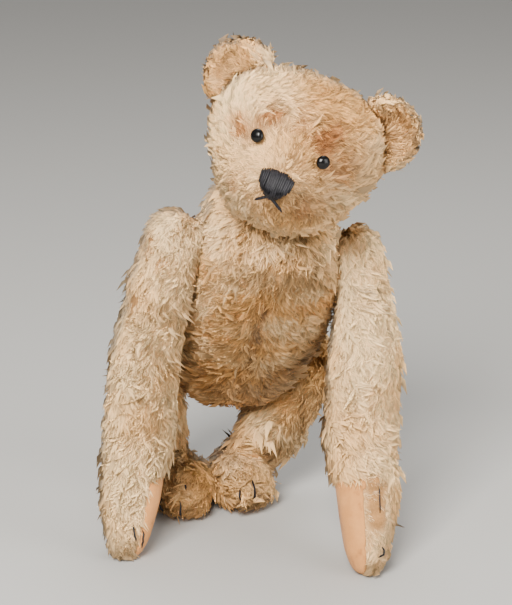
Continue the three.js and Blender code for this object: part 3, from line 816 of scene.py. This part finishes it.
bpy.ops.object.select_all(action="DESELECT")
nose_threads.select_set(True)
nose_base.select_set(True)
bpy.context.view_layer.objects.active = nose_threads
bpy.ops.object.join()
nose_threads.name = nose_threads.data.name = "nose_satin_stitch"
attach(nose_threads, "head")
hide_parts("nose_stitching")

# Two long stitches spread from the foot of the nose, and a short one fastens them there.
MOUTH_TOP = NOSE_UP - 0.0062
mouth = []
for start, end in (
    ((-0.0010, MOUTH_TOP), (-0.0062, MOUTH_TOP - 0.0040)),
    ((0.0004, MOUTH_TOP), (0.0072, MOUTH_TOP - 0.0046)),
    ((-0.0002, MOUTH_TOP + 0.0012), (-0.0002, MOUTH_TOP - 0.0006)),
):
    mouth.append([
        on_muzzle(start[0] + (end[0] - start[0]) * s, start[1] + (end[1] - start[1]) * s ** 1.15,
                  -0.0003 + 0.0008 * math.sin(s * math.pi))
        for s in np.linspace(0, 1, 8)
    ])
mouth_threads = laid_threads("mouth_thread", mouth, 0.0007, "head")
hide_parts("mouth_stitching")

# ---------------------------------------------------------------- felt
# Paw pads and soles are wool felt, faded pinkish beige and grubby in patches.
# Each pad is let into the cloth of its limb, a little proud of it.
felt_material, tree, shader = new_material("worn wool felt")
shader.inputs["Roughness"].default_value = 0.95
shader.inputs["Sheen Weight"].default_value = 0.08
shader.inputs["Sheen Roughness"].default_value = 0.6
grubby = tree.nodes.new("ShaderNodeValToRGB")
stops = grubby.color_ramp.elements
stops[0].position, stops[0].color = 0.3, (0.35, 0.135, 0.033, 1)
stops[1].position, stops[1].color = 0.7, (0.59, 0.262, 0.074, 1)
stops.new(0.42).color = (0.51, 0.215, 0.056, 1)
tree.links.new(mottled(tree, 130, detail=4, roughness=0.6).outputs["Height"], grubby.inputs["Fac"])
tree.links.new(grubby.outputs["Color"], shader.inputs["Base Color"])
bump(tree, shader, mottled(tree, 1500, detail=5, roughness=0.7).outputs["Height"], 0.55, 0.0005)


PAD_CLEARANCE = 0.004
FELT_THICKNESS = 0.0008


def beside(points, surface, reach):
    """1 at a surface, fading to 0 at that reach from it, and the way from it."""
    close = [surface.find_nearest(Vector(p), reach) for p in points]
    share = np.array([0.0 if c[3] is None else 1 - c[3] / reach for c in close])
    away = np.array([(0, 0, 0) if c[0] is None else p - np.array(c[0]) for p, c in zip(points, close)])
    return share, unit(away)


def split_pad(skin, cover, pad, name):
    """Parts the faces that lie over the felt from the rest of a limb's skin."""
    cover_tree, pad_tree = tree_of(frame["nodes"][cover]), tree_of(frame["nodes"][pad])
    chosen = np.zeros(len(skin.data.polygons), bool)
    for polygon in skin.data.polygons:
        probe = polygon.center + polygon.normal * PILE_DEPTH * 0.4
        chosen[polygon.index] = pad_tree.find_nearest(probe)[3] < cover_tree.find_nearest(probe)[3]
    bpy.ops.object.select_all(action="DESELECT")
    skin.select_set(True)
    bpy.context.view_layer.objects.active = skin
    bpy.ops.object.mode_set(mode="EDIT")
    bpy.ops.mesh.select_all(action="DESELECT")
    bpy.ops.object.mode_set(mode="OBJECT")
    skin.data.polygons.foreach_set("select", chosen)
    bpy.ops.object.mode_set(mode="EDIT")
    bpy.ops.mesh.select_mode(type="FACE")
    bpy.ops.mesh.separate(type="SELECTED")
    bpy.ops.object.mode_set(mode="OBJECT")
    felt = next(o for o in bpy.context.selected_objects if o is not skin)
    felt.name = felt.data.name = name
    run_modifier(felt, "SUBSURF", levels=1)
    run_modifier(felt, "SOLIDIFY", thickness=FELT_THICKNESS, offset=1.0)
    finish_surface(felt, felt_material)
    return felt


# ---------------------------------------------------------------- arms
# Long curved arms on disc joints at the shoulders, a felt pad let into the inner side of each paw.
# The right arm has rubbed patches near the shoulder; the left paw is bald and split beside its pad.


def end_depth(points):
    """The pile is shorter at the paws and feet, so the cloth lies nearer the outline there."""
    return 1 - 0.6 * np.clip((0.045 - points[:, 2]) / 0.02, 0, 1)


ARM_TUFTS = 11800
ARM_PILE_LENGTH = 0.0080

# The bald spots, each a place and a radius, and the bald strip, its two ends and a radius.
BALD = {
    "right": [((-0.0505, -0.0039, 0.1548), 0.0062), ((-0.0592, -0.0070, 0.1265), 0.0058),
              ((-0.0456, -0.0163, 0.1471), 0.004)],
    "left": [],
}
STRIP = {"left": ((0.0525, -0.0510, 0.044), (0.0525, -0.0575, 0.028), 0.0050), "right": None}
for side in ("left", "right"):
    joint_name = f"shoulder_{side}_turn"
    arm = soft_skin(f"arm_{side}_cloth", [
        f"arm_{side}_cover", f"arm_{side}_stuffing", f"paw_pad_{side}",
        f"shoulder_{side}_arm_disc", f"shoulder_{side}_arm_washer"], [joint_name], depth=end_depth)
    arm_surface = tree_of(arm)
    felt = split_pad(arm, f"arm_{side}_cover", f"paw_pad_{side}", f"paw_felt_{side}")
    felt_surface = tree_of(felt)
    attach(felt, f"arm_{side}")
    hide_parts(f"paw_pad_{side}")
    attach(arm, f"arm_{side}")
    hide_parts(f"arm_{side}_cover")
    paw = np.array(middle(f"paw_pad_{side}"))
    shoulder = np.array(joint[joint_name]["pos_m"])
    outward = np.array((1.0 if side == "left" else -1.0, 0, 0))
    down = unit((paw + outward * 0.008 - shoulder - outward * 0.015)[None])[0]

    def arm_flow(points, out):
        share, away = beside(points, felt_surface, PAD_CLEARANCE)
        return down[None] + 0.3 * outward[None] + 0.5 * share[:, None] * away

    def arm_bald(points, wider=1.0):
        bare = np.zeros(len(points))
        for spot, radius in BALD[side]:
            bare = np.maximum(bare, near(points, spot, radius * wider, 0.45))
        if STRIP[side]:
            start, end, radius = STRIP[side]
            bare = np.maximum(bare, near_line(points, start, end, radius * wider, 0.3))
        return bare

    def arm_keep(points, out):
        return clear_of_joints(points, [joint_name], 0.0155) * (1 - 0.93 * arm_bald(points, 1.15))

    def arm_length(points, out):
        inner = np.clip(-(out @ outward) * 1.6 - 0.5, 0, 1) * (points[:, 2] > 0.07)
        paw_end = np.clip((0.03 - points[:, 2]) / 0.03, 0, 1)
        by_pad, _ = beside(points, felt_surface, PAD_CLEARANCE)
        return (ARM_PILE_LENGTH * (1 - 0.4 * inner) * (1 - 0.6 * arm_bald(points, 2.2)) * (1 - 0.2 * paw_end)
                * (1 - 0.45 * by_pad))

    def arm_tint(points, out):
        mix = np.clip(0.8 + 0.3 * wander(points, 0.017, 61), 0, 1)[:, None]
        colour = PALE * mix + GOLD * (1 - mix)
        browning = np.clip(0.5 - points[:, 2] / 0.05, 0, 0.5) + 0.8 * arm_bald(points)
        browning = np.clip(browning + 0.25 * np.clip(wander(points, 0.03, 63), 0, 1), 0, 1)[:, None]
        return colour * (1 - 0.5 * browning) + (BROWN + 0.06) * 0.5 * browning

    paint_cloth(arm, arm_tint, arm_bald)
    grow_pile(f"arm_{side}_pile", arm, f"arm_{side}", ARM_TUFTS, arm_length, arm_flow, arm_tint, arm_keep,
              seed=64 if side == "left" else 65, surface=arm_surface)

# ---------------------------------------------------------------- legs
# Short legs with slipper feet and felt soles, each held to the trunk by a disc joint at the hip.
# The pile browns towards the feet and is stained worst on the left shin; painted shade also darkens it
# towards the feet.
LEG_TUFTS = 6200
LEG_PILE_LENGTH = 0.0088
for side in ("left", "right"):
    joint_name = f"hip_{side}_turn"
    leg = soft_skin(f"leg_{side}_cloth", [
        f"leg_{side}_cover", f"leg_{side}_stuffing", f"foot_pad_{side}",
        f"hip_{side}_leg_disc", f"hip_{side}_leg_washer"], [joint_name], depth=end_depth)
    leg_surface = tree_of(leg)
    felt = split_pad(leg, f"leg_{side}_cover", f"foot_pad_{side}", f"foot_felt_{side}")
    felt_surface = tree_of(felt)
    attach(felt, f"leg_{side}")
    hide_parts(f"foot_pad_{side}")
    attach(leg, f"leg_{side}")
    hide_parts(f"leg_{side}_cover")
    hip = np.array(joint[joint_name]["pos_m"])
    sole = np.array(middle(f"foot_pad_{side}"))
    thigh_down = unit((sole - hip)[None])[0]

    def leg_flow(points, out):
        foot = np.clip((0.034 - points[:, 2]) / 0.014, 0, 1)[:, None]
        toes = np.array((0, -1.0, -0.35))
        share, away = beside(points, felt_surface, PAD_CLEARANCE)
        return thigh_down[None] * (1 - foot) + toes[None] * foot + 0.5 * share[:, None] * away

    def leg_keep(points, out):
        return clear_of_joints(points, [joint_name], 0.0165)

    def leg_length(points, out):
        return LEG_PILE_LENGTH - 0.0022 * np.clip((0.012 - points[:, 2]) / 0.012, 0, 1)

    def leg_tint(points, out):
        mix = np.clip(0.45 + 0.34 * wander(points, 0.015, 71), 0, 1)[:, None]
        colour = PALE * mix + GOLD * (1 - mix)
        shin = near(points, sole + np.array((-0.006, 0.012, 0.028)), 0.016, 0.6) * (side == "left")
        browning = np.clip(shin + np.clip((0.014 - points[:, 2]) / 0.02, 0, 0.6), 0, 1)[:, None]
        colour = colour * (1 - 0.55 * browning) + RUST * 0.55 * browning
        # Painted shade: the pile is darkened towards the feet, near the floor.
        return colour * (1 - 0.24 * np.clip((0.05 - points[:, 2]) / 0.03, 0, 1))[:, None]

    paint_cloth(leg, leg_tint)
    grow_pile(f"leg_{side}_pile", leg, f"leg_{side}", LEG_TUFTS, leg_length, leg_flow, leg_tint, leg_keep,
              seed=74 if side == "left" else 75, surface=leg_surface)

# ---------------------------------------------------------------- claws
# Single black claw stitches, laid over the pile of the paws and feet; most of them are lost.
# The split beside the left pad is a line of black thread lying almost on the cloth: painted shade for its
# open edge.


def claw(limb, top, bottom, proud=0.0042):
    """The path of a stitch over a limb's cloth, bowed up from it by proud in the middle."""
    skin_tree = tree_of(bpy.data.objects[f"{limb}_cloth"])
    path = []
    for s in np.linspace(0, 1, 6):
        wanted = Vector(np.array(top) * (1 - s) + np.array(bottom) * s)
        hit, normal = skin_tree.find_nearest(wanted)[:2]
        path.append(np.array(hit + normal * (proud * math.sin(math.pi * (0.15 + 0.7 * s)))))
    return path


# Painted shade: the open split is drawn as a dark thread.
split_shade_path = claw("arm_left", (0.0545, -0.0515, 0.0435), (0.0540, -0.0560, 0.0315), 0.0006)
split = laid_threads("paw_split_shade_line", [split_shade_path], 0.0004, "arm_left")

CLAWS = {
    "arm_right": [
        ((-0.061, -0.026, 0.020), (-0.0600, -0.024, 0.012)),
        ((-0.0565, -0.026, 0.017), (-0.056, -0.024, 0.009)),
    ],
    "arm_left": [((0.0525, -0.059, 0.0155), (0.0515, -0.061, 0.0115))],
    "leg_left": [
        ((0.0043, 0.030, 0.019), (0.004, 0.027, 0.010)),
        ((-0.0016, 0.028, 0.016), (-0.0016, 0.027, 0.010)),
    ],
    "leg_right": [
        ((-0.0400, 0.028, 0.013), (-0.0395, 0.026, 0.006)),
        ((-0.0325, 0.024, 0.013), (-0.0325, 0.023, 0.006)),
        ((-0.0302, 0.0245, 0.0195), (-0.0300, 0.0240, 0.0175)),
    ],
}
for body, places in CLAWS.items():
    paths = [claw(body, *place) for place in places]
    made = laid_threads(f"{body}_claws", paths, 0.0005, body)

# ---------------------------------------------------------------- filling and joint hardware
# Wood wool fills every piece. Card discs, steel washers and split pins hold the five joints.
# All of it is out of sight, so it has plain finishes: colours from dark to light, roughness, metal, grain.
hidden = {
    "stuffing": ("wood wool", (0.42, 0.28, 0.12), (0.60, 0.43, 0.20), 0.9, 0.0, 400),
    "disc": ("pressed card", (0.20, 0.12, 0.06), (0.30, 0.19, 0.10), 0.85, 0.0, 300),
    "washer": ("dull steel", (0.30, 0.28, 0.25), (0.42, 0.40, 0.37), 0.45, 1.0, 500),
    "pin": ("steel pin wire", (0.28, 0.26, 0.24), (0.40, 0.38, 0.35), 0.45, 1.0, 500),
}
for ending, (label, dark, light, roughness, metal, scale) in hidden.items():
    material, tree, shader = new_material(label)
    shader.inputs["Roughness"].default_value = roughness
    shader.inputs["Metallic"].default_value = metal
    grain = mottled(tree, scale, dark, light)
    tree.links.new(grain.outputs["Colour"], shader.inputs["Base Color"])
    bump(tree, shader, grain.outputs["Height"], 0.4, 0.0003)
    for name, node in frame["nodes"].items():
        if name.endswith(ending):
            node.data.materials.clear()
            node.data.materials.append(material)

# ---------------------------------------------------------------- floor, light and camera
# A plain pale paper floor, wide enough to show no edge in front.
# The light is soft and comes mostly from the front left; the camera has a long lens, a little above the bear.
bpy.ops.object.select_all(action="DESELECT")
bpy.ops.mesh.primitive_plane_add(size=8, location=(0, 0, 0))
floor = bpy.context.object
floor.name = "floor"
paper, tree, shader = new_material("pale paper")
shader.inputs["Base Color"].default_value = (0.44, 0.435, 0.42, 1)
shader.inputs["Roughness"].default_value = 0.9
floor.data.materials.append(paper)

world = bpy.data.worlds.new("studio")
bpy.context.scene.world = world
world.use_nodes = True
world.node_tree.nodes["Background"].inputs["Color"].default_value = (0.90, 0.88, 0.86, 1)
world.node_tree.nodes["Background"].inputs["Strength"].default_value = 0.42
AIM = Vector((0, 0, 0.12))
for name, place, size, power, colour in (
    ("key", (-0.45, -1.15, 0.95), 0.6, 58, (1.0, 0.965, 0.905)),
    ("fill", (0.95, -0.95, 0.45), 0.9, 16, (1.0, 0.985, 0.96)),
    ("top", (0.1, 0.35, 1.15), 0.6, 7, (1.0, 0.98, 0.95)),
):
    light = bpy.data.lights.new(name, "AREA")
    light.size = size
    light.energy = power
    light.color = colour
    lamp = bpy.data.objects.new(name, light)
    bpy.context.collection.objects.link(lamp)
    lamp.location = place
    lamp.rotation_euler = (AIM - Vector(place)).to_track_quat("-Z", "Y").to_euler()

AZIMUTH, ELEVATION, DISTANCE = math.radians(-8), math.radians(16), 1.25
back = Vector((math.sin(AZIMUTH) * math.cos(ELEVATION), -math.cos(AZIMUTH) * math.cos(ELEVATION),
               math.sin(ELEVATION)))
target = Vector((0.0046, 0.0173, 0.1158))
camera_data = bpy.data.cameras.new("camera")
camera_data.sensor_width = 36
camera_data.lens = 152.5
camera = bpy.data.objects.new("camera", camera_data)
bpy.context.collection.objects.link(camera)
camera.location = target + back * DISTANCE
camera.rotation_euler = (-back).to_track_quat("-Z", "Y").to_euler()
bpy.context.scene.camera = camera
